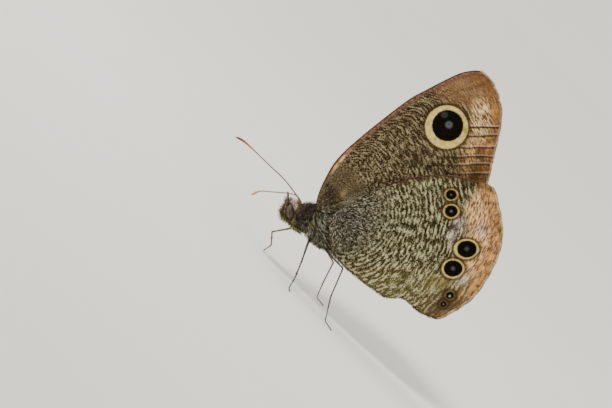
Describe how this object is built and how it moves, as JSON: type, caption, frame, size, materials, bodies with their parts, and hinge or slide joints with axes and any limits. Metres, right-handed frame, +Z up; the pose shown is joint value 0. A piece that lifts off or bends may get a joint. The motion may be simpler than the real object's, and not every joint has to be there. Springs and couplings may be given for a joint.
{
  "type": "satyrid butterfly model",
  "caption": "Small brown ringed butterfly, standing on its legs with its wings closed upright over its back and its feelers spread.",
  "frame": {"origin": "bottom centre of the bounding box, on the floor that the feet stand on", "axes": "+Z up from the floor, +X from head to tail, +Y from the animal's left side to its right side, across the closed wings"},
  "size_m": [0.0309, 0.0131, 0.0311],
  "materials": {
    "wing": "matte scales, brown with fine pale cross lines and ringed eyespots",
    "hair": "grey-brown woolly hair",
    "eye": "dark brown faceted, half gloss",
    "feeler": "brown, ringed, orange towards the club",
    "leg": "dark brown, finely scaled"
  },
  "bodies": {
    "root": {"head": "hair", "thorax": "hair", "abdomen": "hair", "eye_l": "eye", "eye_r": "eye", "antenna_l": "feeler", "antenna_r": "feeler", "palp_l": "feeler", "palp_r": "feeler", "forewing_l": "wing", "forewing_r": "wing", "hindwing_l": "wing", "hindwing_r": "wing", "foreleg_l": "leg", "foreleg_r": "leg", "midleg_l": "leg", "midleg_r": "leg", "hindleg_l": "leg", "hindleg_r": "leg"}
  },
  "joints": []
}
